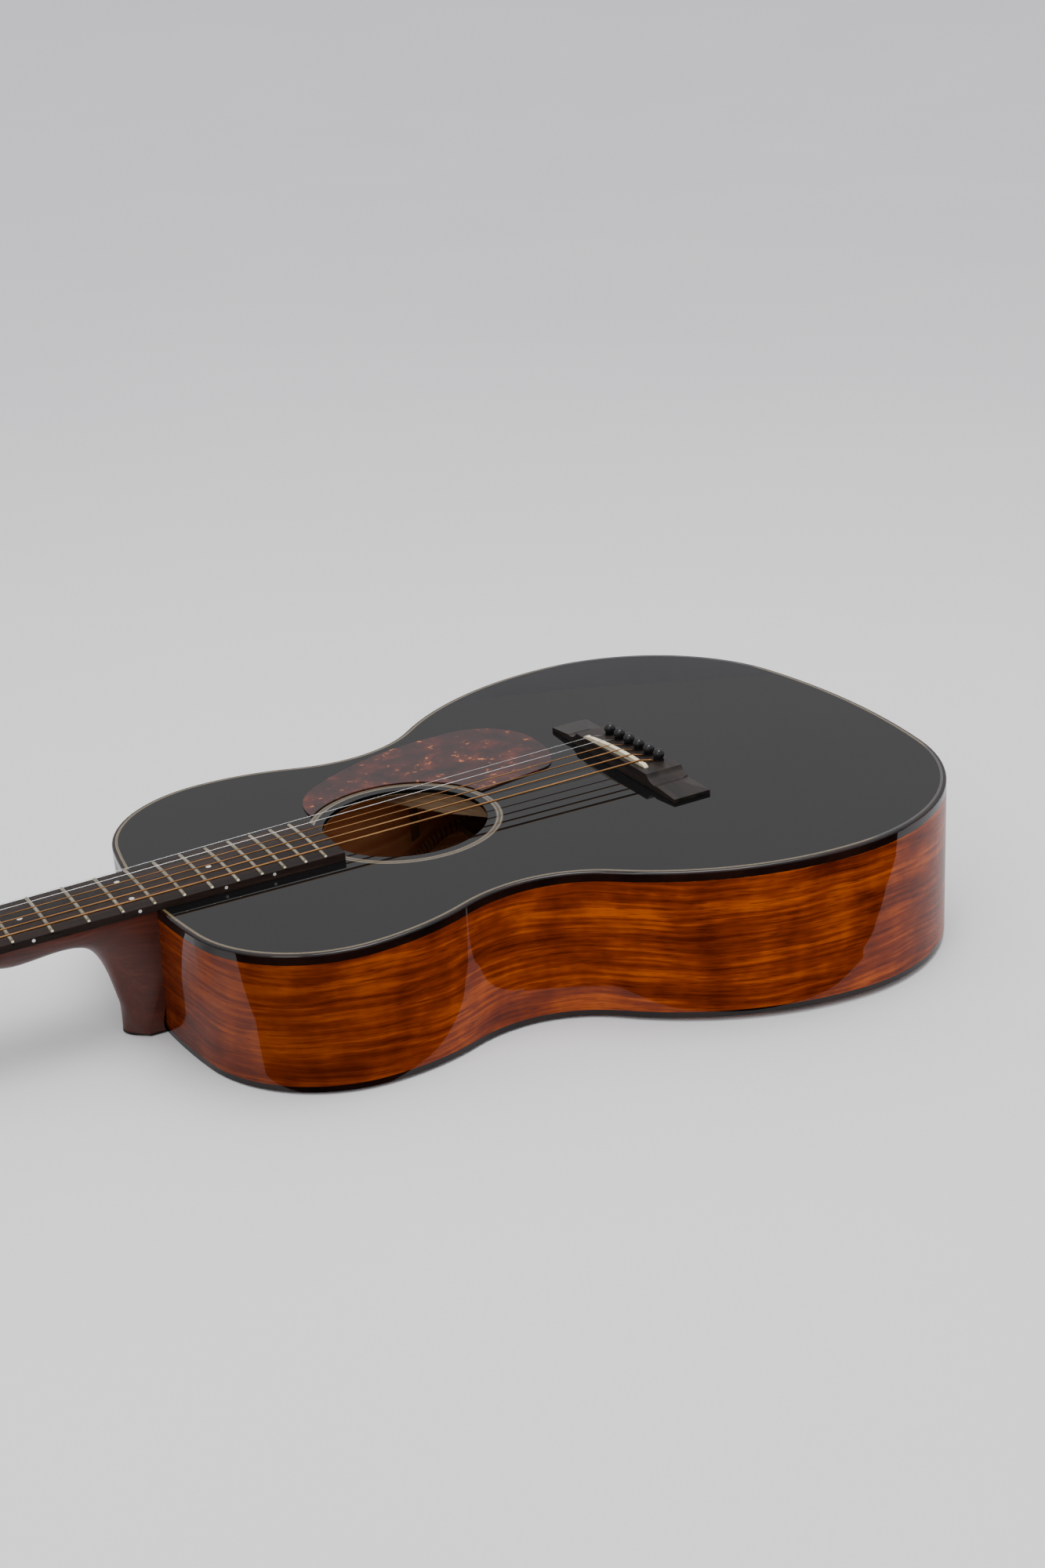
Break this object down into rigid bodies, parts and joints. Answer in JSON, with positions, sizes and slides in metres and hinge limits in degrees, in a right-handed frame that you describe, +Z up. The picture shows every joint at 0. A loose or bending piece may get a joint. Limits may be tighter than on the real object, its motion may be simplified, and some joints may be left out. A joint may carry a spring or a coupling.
{
  "type": "acoustic guitar",
  "caption": "Flat-top acoustic guitar with a slotted headstock, steel strings, arched back, pyramid bridge and turning tuning machines.",
  "frame": {"origin": "middle of the bounding box on the ground that the guitar's back lies on", "axes": "+X from the headstock to the tail, +Y from the bass strings to the treble strings, +Z up out of the soundboard"},
  "size_m": [1.0139, 0.382, 0.1165],
  "materials": {
    "black_lacquer": "spruce under polished black lacquer",
    "cream_inlay": "cream and dark lines, polished flush",
    "dark_binding": "polished",
    "tortoise": "polished tortoise pattern",
    "mahogany_gloss": "polished lacquer",
    "mahogany_satin": "satin lacquer",
    "bare_mahogany": "unfinished",
    "spruce": "unfinished",
    "maple": "unfinished",
    "ebony": "oiled",
    "bone": "smooth",
    "black_pins": "polished",
    "pearl": "polished",
    "fret_wire": "polished nickel silver",
    "bronze_winding": "wound",
    "plain_steel": "drawn wire",
    "nickel": "polished nickel plate",
    "steel_rod": "plain",
    "cream_button": "polished"
  },
  "bodies": {
    "guitar": {"top": "black_lacquer", "top_purfling": "cream_inlay", "rosette": "cream_inlay", "top_binding": "dark_binding", "pickguard": "tortoise", "back": "mahogany_gloss", "back_binding": "dark_binding", "end_graft": "dark_binding", "side_bass": "mahogany_gloss", "side_treble": "mahogany_gloss", "end_pin": "black_pins", "neck_block": "bare_mahogany", "tail_block": "bare_mahogany", "top_lining": "bare_mahogany", "back_lining": "bare_mahogany", "x_brace_bass": "spruce", "x_brace_treble": "spruce", "upper_brace": "spruce", "tone_bars": "spruce", "finger_braces": "spruce", "bridge_plate": "maple", "back_braces": "spruce", "back_strip": "spruce", "side_strips": "spruce", "neck": "mahogany_satin", "heel_cap": "ebony", "headstock_veneer": "ebony", "truss_rod": "steel_rod", "fretboard": "ebony", "frets": "fret_wire", "fret_dots": "pearl", "side_dots": "pearl", "nut": "bone", "bridge": "ebony", "saddle": "bone", "bridge_pins": "black_pins", "tuner_screws": "nickel", "tuner_plate_bass": "nickel", "tuner_plate_treble": "nickel", "string_low_e": "bronze_winding", "string_a": "bronze_winding", "string_d": "bronze_winding", "string_g": "bronze_winding", "string_b": "plain_steel", "string_high_e": "plain_steel"},
    "button_low_e": {"tuner_button_low_e": "cream_button"},
    "roller_low_e": {"tuner_post_low_e": "nickel"},
    "button_a": {"tuner_button_a": "cream_button"},
    "roller_a": {"tuner_post_a": "nickel"},
    "button_d": {"tuner_button_d": "cream_button"},
    "roller_d": {"tuner_post_d": "nickel"},
    "button_g": {"tuner_button_g": "cream_button"},
    "roller_g": {"tuner_post_g": "nickel"},
    "button_b": {"tuner_button_b": "cream_button"},
    "roller_b": {"tuner_post_b": "nickel"},
    "button_high_e": {"tuner_button_high_e": "cream_button"},
    "roller_high_e": {"tuner_post_high_e": "nickel"}
  },
  "joints": [
    {"name": "button_low_e_turn", "type": "hinge", "parent": "guitar", "child": "button_low_e", "pos_m": [-0.37289, -0.03485, 0.04897], "axis": [-0.2577, 0, 0.9662], "continuous": true},
    {"name": "roller_low_e_turn", "type": "hinge", "parent": "guitar", "child": "roller_low_e", "pos_m": [-0.38052, -0.02, 0.04693], "axis": [0, 1, 0], "continuous": true},
    {"name": "button_a_turn", "type": "hinge", "parent": "guitar", "child": "button_a", "pos_m": [-0.4096, -0.03485, 0.03918], "axis": [-0.2577, 0, 0.9662], "continuous": true},
    {"name": "roller_a_turn", "type": "hinge", "parent": "guitar", "child": "roller_a", "pos_m": [-0.41724, -0.02, 0.03714], "axis": [0, 1, 0], "continuous": true},
    {"name": "button_d_turn", "type": "hinge", "parent": "guitar", "child": "button_d", "pos_m": [-0.44632, -0.03485, 0.02938], "axis": [-0.2577, 0, 0.9662], "continuous": true},
    {"name": "roller_d_turn", "type": "hinge", "parent": "guitar", "child": "roller_d", "pos_m": [-0.45395, -0.02, 0.02735], "axis": [0, 1, 0], "continuous": true},
    {"name": "button_g_turn", "type": "hinge", "parent": "guitar", "child": "button_g", "pos_m": [-0.44632, 0.03485, 0.02938], "axis": [-0.2577, 0, 0.9662], "continuous": true},
    {"name": "roller_g_turn", "type": "hinge", "parent": "guitar", "child": "roller_g", "pos_m": [-0.45395, 0.02, 0.02735], "axis": [0, 1, 0], "continuous": true},
    {"name": "button_b_turn", "type": "hinge", "parent": "guitar", "child": "button_b", "pos_m": [-0.4096, 0.03485, 0.03918], "axis": [-0.2577, 0, 0.9662], "continuous": true},
    {"name": "roller_b_turn", "type": "hinge", "parent": "guitar", "child": "roller_b", "pos_m": [-0.41724, 0.02, 0.03714], "axis": [0, 1, 0], "continuous": true},
    {"name": "button_high_e_turn", "type": "hinge", "parent": "guitar", "child": "button_high_e", "pos_m": [-0.37289, 0.03485, 0.04897], "axis": [-0.2577, 0, 0.9662], "continuous": true},
    {"name": "roller_high_e_turn", "type": "hinge", "parent": "guitar", "child": "roller_high_e", "pos_m": [-0.38052, 0.02, 0.04693], "axis": [0, 1, 0], "continuous": true}
  ],
  "couplings": [
    {"joint": "roller_low_e_turn", "follows": "button_low_e_turn", "ratio": 0.066667},
    {"joint": "roller_a_turn", "follows": "button_a_turn", "ratio": 0.066667},
    {"joint": "roller_d_turn", "follows": "button_d_turn", "ratio": 0.066667},
    {"joint": "roller_g_turn", "follows": "button_g_turn", "ratio": 0.066667},
    {"joint": "roller_b_turn", "follows": "button_b_turn", "ratio": 0.066667},
    {"joint": "roller_high_e_turn", "follows": "button_high_e_turn", "ratio": 0.066667}
  ]
}
